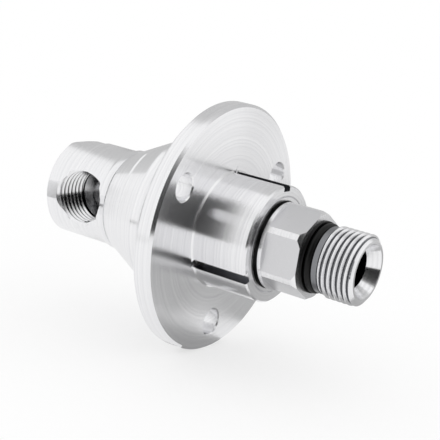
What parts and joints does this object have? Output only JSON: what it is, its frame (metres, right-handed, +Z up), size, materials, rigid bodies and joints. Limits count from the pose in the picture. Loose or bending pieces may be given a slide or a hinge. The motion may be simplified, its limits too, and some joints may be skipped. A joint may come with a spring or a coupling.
{
  "type": "hydraulic rotary union",
  "caption": "Flanged hydraulic rotary union: a side-ported housing with a mounting flange carries a turning hex stud with a threaded, sealed male end.",
  "frame": {"origin": "centre of the flange's mounting face, on the turning axis", "axes": "+X along the turning axis towards the male thread, +Z up, side port towards -Y"},
  "size_m": [0.1127, 0.08, 0.08],
  "materials": {
    "turned_steel": "turned stainless steel",
    "bearing_steel": "ground",
    "ball_chrome": "polished",
    "cage_brass": "satin",
    "spring_steel": "phosphated",
    "black_rubber": "matte",
    "white_ptfe": "matte"
  },
  "bodies": {
    "housing": {"flange_housing": "turned_steel", "port_body": "turned_steel", "front_bearing_outer_ring": "bearing_steel", "rear_bearing_outer_ring": "bearing_steel", "outer_spacer_sleeve": "turned_steel", "hub_retaining_ring": "spring_steel", "dust_seal_case": "turned_steel", "dust_seal": "black_rubber", "pressure_seal": "white_ptfe", "seal_energiser_ring": "black_rubber", "seal_backup_ring": "white_ptfe", "body_joint_o_ring": "black_rubber"},
    "rotor": {"rotor_stud": "turned_steel", "front_bearing_inner_ring": "bearing_steel", "rear_bearing_inner_ring": "bearing_steel", "inner_spacer_sleeve": "turned_steel", "stud_retaining_ring": "spring_steel", "stud_backup_washer": "black_rubber", "stud_o_ring": "black_rubber"},
    "front_ball_set": {"front_bearing_balls": "ball_chrome", "front_bearing_cage": "cage_brass"},
    "rear_ball_set": {"rear_bearing_balls": "ball_chrome", "rear_bearing_cage": "cage_brass"}
  },
  "joints": [
    {"name": "stud_spin", "type": "hinge", "parent": "housing", "child": "rotor", "pos_m": [0, 0, 0], "axis": [1, 0, 0], "continuous": true},
    {"name": "front_balls_orbit", "type": "hinge", "parent": "housing", "child": "front_ball_set", "pos_m": [0.0125, 0, 0], "axis": [1, 0, 0], "continuous": true},
    {"name": "rear_balls_orbit", "type": "hinge", "parent": "housing", "child": "rear_ball_set", "pos_m": [-0.0085, 0, 0], "axis": [1, 0, 0], "continuous": true}
  ],
  "couplings": [
    {"joint": "front_balls_orbit", "follows": "stud_spin", "ratio": 0.4157},
    {"joint": "rear_balls_orbit", "follows": "stud_spin", "ratio": 0.4157}
  ]
}
